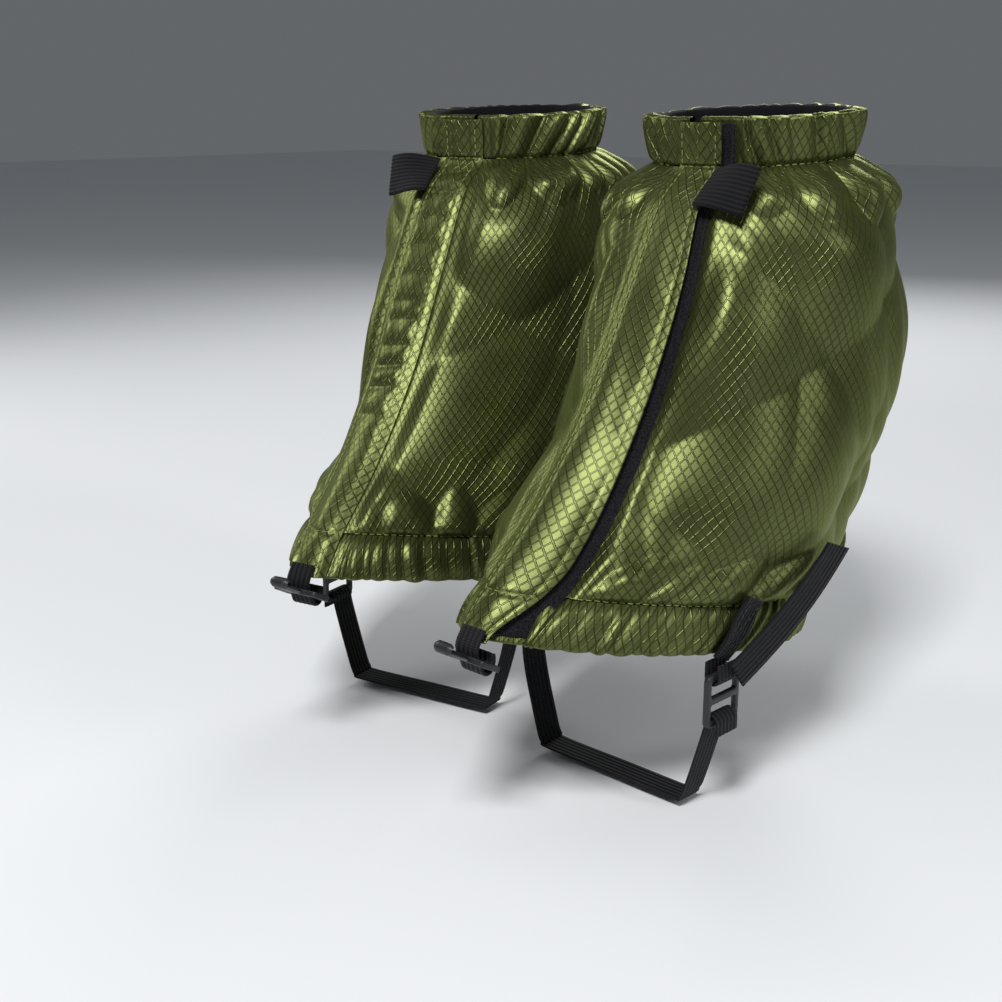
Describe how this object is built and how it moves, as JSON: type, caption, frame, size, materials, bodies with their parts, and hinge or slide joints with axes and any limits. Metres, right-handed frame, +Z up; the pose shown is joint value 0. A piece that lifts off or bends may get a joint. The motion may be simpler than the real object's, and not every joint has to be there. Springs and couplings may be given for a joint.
{
  "type": "gaiters",
  "caption": "Pair of short ripstop gaiters with elastic collar and hem, front flap closed by hook-and-loop, pull tab, lace hook, slider buckle and strap under the sole.",
  "frame": {"origin": "on the ground, midway between the two ankles of a standing wearer; the object is held up by the legs and boots it is worn on", "axes": "+Z up, toes to -Y, the wearer's left to +X"},
  "size_m": [0.2663, 0.2626, 0.2711],
  "materials": {
    "ripstop": "satin coated ripstop, olive green",
    "lining": "matt black lining",
    "elastic": "woven elastic",
    "hook_and_loop": "hook-and-loop tape",
    "webbing": "ribbed black webbing",
    "buckle_plastic": "satin charcoal",
    "hook_plastic": "satin charcoal"
  },
  "bodies": {
    "left_gaiter": {"left_shell_outer_front": "ripstop", "left_shell_outer_back": "ripstop", "left_shell_inner_back": "ripstop", "left_shell_inner_front": "ripstop", "left_lining": "lining", "left_collar_casing": "ripstop", "left_collar_elastic": "elastic", "left_hem_casing": "ripstop", "left_hem_elastic": "elastic", "left_loop_tape": "hook_and_loop", "left_anchor_patch": "webbing", "left_inner_patch": "webbing"},
    "left_front": {"left_flap": "ripstop", "left_hook_tape": "hook_and_loop", "left_hook_keeper": "webbing"},
    "left_tab": {"left_pull_tab": "webbing"},
    "left_hook": {"left_lace_hook": "hook_plastic"},
    "left_stirrup": {"left_anchor_loop": "webbing", "left_buckle": "buckle_plastic", "left_understrap": "webbing"},
    "left_tail": {"left_strap_tail": "webbing"},
    "right_gaiter": {"right_shell_outer_front": "ripstop", "right_shell_outer_back": "ripstop", "right_shell_inner_back": "ripstop", "right_shell_inner_front": "ripstop", "right_lining": "lining", "right_collar_casing": "ripstop", "right_collar_elastic": "elastic", "right_hem_casing": "ripstop", "right_hem_elastic": "elastic", "right_loop_tape": "hook_and_loop", "right_anchor_patch": "webbing", "right_inner_patch": "webbing"},
    "right_front": {"right_flap": "ripstop", "right_hook_tape": "hook_and_loop", "right_hook_keeper": "webbing"},
    "right_tab": {"right_pull_tab": "webbing"},
    "right_hook": {"right_lace_hook": "hook_plastic"},
    "right_stirrup": {"right_anchor_loop": "webbing", "right_buckle": "buckle_plastic", "right_understrap": "webbing"},
    "right_tail": {"right_strap_tail": "webbing"}
  },
  "joints": [
    {"name": "left_flap_open", "type": "hinge", "parent": "left_gaiter", "child": "left_front", "pos_m": [0.05243, -0.08335, 0.17675], "axis": [-0.0491, -0.5613, -0.8261], "range_deg": [0, 100]},
    {"name": "left_tab_lift", "type": "hinge", "parent": "left_front", "child": "left_tab", "pos_m": [0.0761, -0.03366, 0.24399], "axis": [-0.064, -0.7321, -0.6782], "range_deg": [0, 110]},
    {"name": "left_hook_swing", "type": "hinge", "parent": "left_front", "child": "left_hook", "pos_m": [0.05568, -0.14657, 0.076], "axis": [0.9962, -0.0872, 0], "range_deg": [0, 75]},
    {"name": "left_stirrup_swing", "type": "hinge", "parent": "left_gaiter", "child": "left_stirrup", "pos_m": [0.0616, -0.06176, 0.06518], "axis": [0.9962, -0.0872, 0], "range_deg": [-12, 12]},
    {"name": "left_tail_lift", "type": "hinge", "parent": "left_stirrup", "child": "left_tail", "pos_m": [0.11805, -0.0647, 0.05858], "axis": [0.0872, 0.9962, 0], "range_deg": [0, 60]},
    {"name": "right_flap_open", "type": "hinge", "parent": "right_gaiter", "child": "right_front", "pos_m": [-0.04809, -0.07047, 0.17675], "axis": [-0.0784, 0.558, 0.8261], "range_deg": [0, 100]},
    {"name": "right_tab_lift", "type": "hinge", "parent": "right_front", "child": "right_tab", "pos_m": [-0.07433, -0.02209, 0.24399], "axis": [-0.1023, 0.7277, 0.6782], "range_deg": [0, 110]},
    {"name": "right_hook_swing", "type": "hinge", "parent": "right_front", "child": "right_hook", "pos_m": [-0.04803, -0.13378, 0.076], "axis": [0.9903, 0.1392, 0], "range_deg": [0, 75]},
    {"name": "right_stirrup_swing", "type": "hinge", "parent": "right_gaiter", "child": "right_stirrup", "pos_m": [-0.05837, -0.0494, 0.06518], "axis": [0.9903, 0.1392, 0], "range_deg": [-12, 12]},
    {"name": "right_tail_lift", "type": "hinge", "parent": "right_stirrup", "child": "right_tail", "pos_m": [-0.11459, -0.05528, 0.05858], "axis": [0.1392, -0.9903, 0], "range_deg": [0, 60]},
    {"name": "pair_spacing", "type": "slide", "parent": "left_gaiter", "child": "right_gaiter", "axis": [-1, 0, 0], "range_m": [0, 0.06]}
  ]
}
